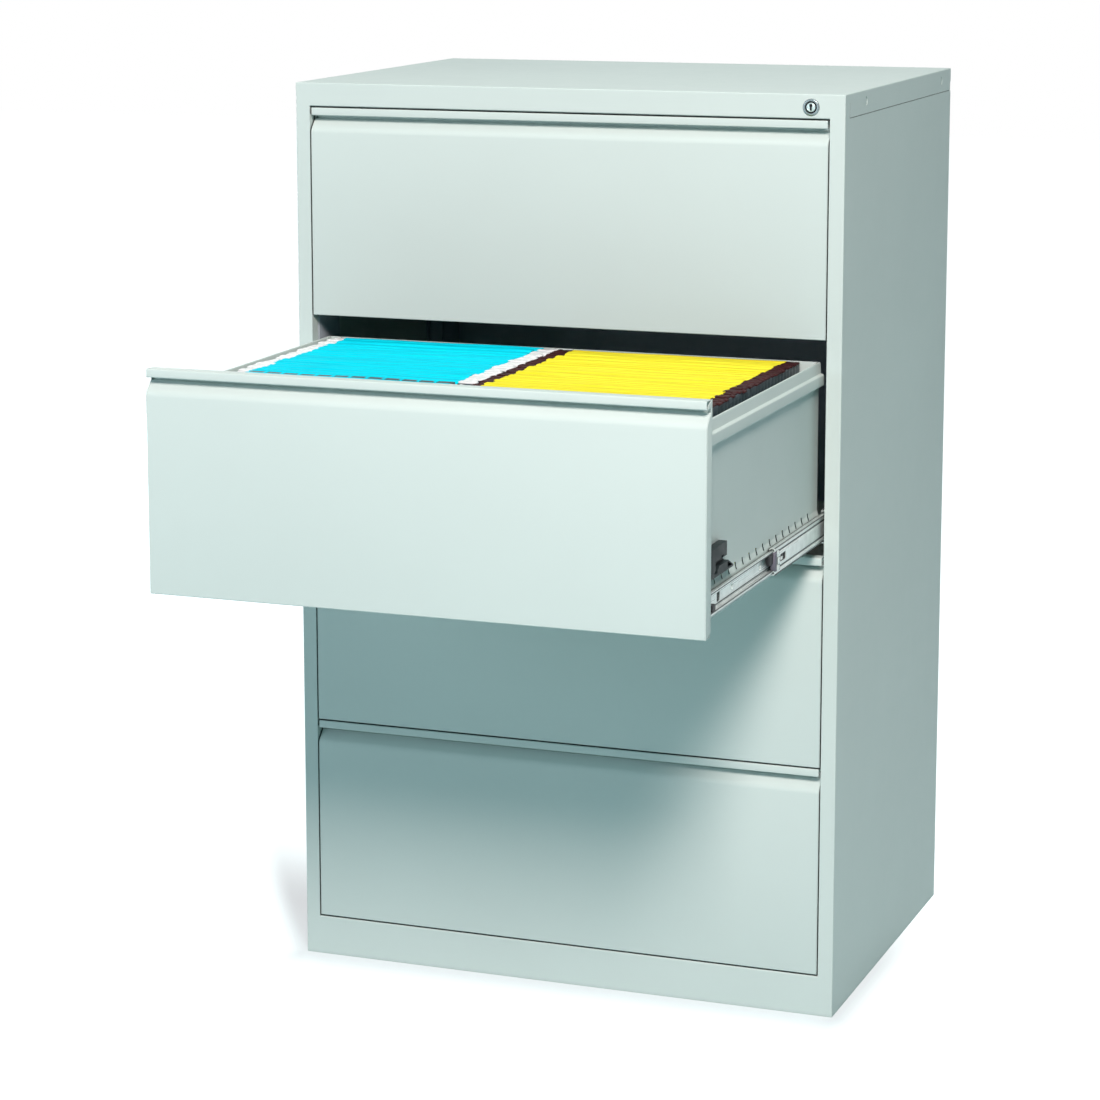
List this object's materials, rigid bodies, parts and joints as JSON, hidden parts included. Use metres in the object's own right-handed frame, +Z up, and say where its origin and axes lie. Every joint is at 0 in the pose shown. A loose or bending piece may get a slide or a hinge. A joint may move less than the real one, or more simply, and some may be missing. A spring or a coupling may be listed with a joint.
{
  "type": "filing cabinet",
  "caption": "Floor-standing steel cabinet with full-width pull-out drawers for two rows of hanging folders, one drawer open, with a lock and telescopic slides.",
  "frame": {"origin": "on the floor, in the middle of the casing", "axes": "+X to the right seen from the front, +Y from the front to the back, +Z up; drawers pull out along -Y"},
  "size_m": [0.8, 1.112, 1.28],
  "materials": {
    "casing_paint": "fine smooth powder coat, pale grey",
    "front_paint": "fine smooth powder coat, pale grey",
    "drawer_paint": "fine smooth powder coat, light grey",
    "slide_steel": "zinc-plated, drawn",
    "base_steel": "plain grey coat",
    "ballast_iron": "black, rough",
    "lock_metal": "satin plated",
    "catch_plastic": "moulded, dark grey",
    "blue_board": "dyed folder board, uncoated",
    "yellow_board": "dyed folder board, uncoated",
    "white_plastic": "moulded",
    "brown_plastic": "moulded"
  },
  "bodies": {
    "carcass": {"top_cover": "casing_paint", "right_side_panel": "casing_paint", "left_side_panel": "casing_paint", "back_panel": "casing_paint", "plinth": "casing_paint", "base_frame": "base_steel", "base_pan": "base_steel", "counterweight": "ballast_iron", "slide_posts": "base_steel", "cabinet_members": "slide_steel", "lock_housing": "lock_metal"},
    "lock": {"lock_plug": "lock_metal", "lock_cam": "lock_metal"},
    "lock_bar": {"lock_bar": "base_steel"},
    "drawer_1": {"drawer_1_front": "front_paint", "drawer_1_inner_front": "drawer_paint", "drawer_1_left_side": "drawer_paint", "drawer_1_right_side": "drawer_paint", "drawer_1_floor": "drawer_paint", "drawer_1_back": "drawer_paint", "drawer_1_hanging_rails": "drawer_paint", "drawer_1_drawer_members": "slide_steel", "drawer_1_catch": "catch_plastic"},
    "drawer_1_slides": {"drawer_1_middle_members": "slide_steel"},
    "drawer_2": {"drawer_2_front": "front_paint", "drawer_2_inner_front": "drawer_paint", "drawer_2_left_side": "drawer_paint", "drawer_2_right_side": "drawer_paint", "drawer_2_floor": "drawer_paint", "drawer_2_back": "drawer_paint", "drawer_2_hanging_rails": "drawer_paint", "drawer_2_drawer_members": "slide_steel", "drawer_2_catch": "catch_plastic", "blue_folders": "blue_board", "blue_folder_tips": "white_plastic", "yellow_folders": "yellow_board", "yellow_folder_tips": "brown_plastic"},
    "drawer_2_slides": {"drawer_2_middle_members": "slide_steel"},
    "drawer_3": {"drawer_3_front": "front_paint", "drawer_3_inner_front": "drawer_paint", "drawer_3_left_side": "drawer_paint", "drawer_3_right_side": "drawer_paint", "drawer_3_floor": "drawer_paint", "drawer_3_back": "drawer_paint", "drawer_3_hanging_rails": "drawer_paint", "drawer_3_drawer_members": "slide_steel", "drawer_3_catch": "catch_plastic"},
    "drawer_3_slides": {"drawer_3_middle_members": "slide_steel"},
    "drawer_4": {"drawer_4_front": "front_paint", "drawer_4_inner_front": "drawer_paint", "drawer_4_left_side": "drawer_paint", "drawer_4_right_side": "drawer_paint", "drawer_4_floor": "drawer_paint", "drawer_4_back": "drawer_paint", "drawer_4_hanging_rails": "drawer_paint", "drawer_4_drawer_members": "slide_steel", "drawer_4_catch": "catch_plastic"},
    "drawer_4_slides": {"drawer_4_middle_members": "slide_steel"}
  },
  "joints": [
    {"name": "lock_turn", "type": "hinge", "parent": "carcass", "child": "lock", "pos_m": [0.353, -0.295, 1.2625], "axis": [0, 1, 0], "range_deg": [0, 90]},
    {"name": "lock_bar_drop", "type": "slide", "parent": "carcass", "child": "lock_bar", "axis": [0, 0, -1], "range_m": [0, 0.008]},
    {"name": "drawer_1_slide", "type": "slide", "parent": "carcass", "child": "drawer_1", "axis": [0, -1, 0], "range_m": [0, 0.53]},
    {"name": "drawer_1_middle_slide", "type": "slide", "parent": "carcass", "child": "drawer_1_slides", "axis": [0, -1, 0], "range_m": [0, 0.265]},
    {"name": "drawer_2_slide", "type": "slide", "parent": "carcass", "child": "drawer_2", "axis": [0, -1, 0], "range_m": [-0.522, 0.008]},
    {"name": "drawer_2_middle_slide", "type": "slide", "parent": "carcass", "child": "drawer_2_slides", "axis": [0, -1, 0], "range_m": [-0.261, 0.004]},
    {"name": "drawer_3_slide", "type": "slide", "parent": "carcass", "child": "drawer_3", "axis": [0, -1, 0], "range_m": [0, 0.53]},
    {"name": "drawer_3_middle_slide", "type": "slide", "parent": "carcass", "child": "drawer_3_slides", "axis": [0, -1, 0], "range_m": [0, 0.265]},
    {"name": "drawer_4_slide", "type": "slide", "parent": "carcass", "child": "drawer_4", "axis": [0, -1, 0], "range_m": [0, 0.53]},
    {"name": "drawer_4_middle_slide", "type": "slide", "parent": "carcass", "child": "drawer_4_slides", "axis": [0, -1, 0], "range_m": [0, 0.265]}
  ],
  "couplings": [
    {"joint": "lock_turn", "follows": "lock_bar_drop", "rad_per_m": 196.35},
    {"joint": "drawer_1_middle_slide", "follows": "drawer_1_slide", "ratio": 0.5},
    {"joint": "drawer_2_middle_slide", "follows": "drawer_2_slide", "ratio": 0.5},
    {"joint": "drawer_3_middle_slide", "follows": "drawer_3_slide", "ratio": 0.5},
    {"joint": "drawer_4_middle_slide", "follows": "drawer_4_slide", "ratio": 0.5}
  ]
}
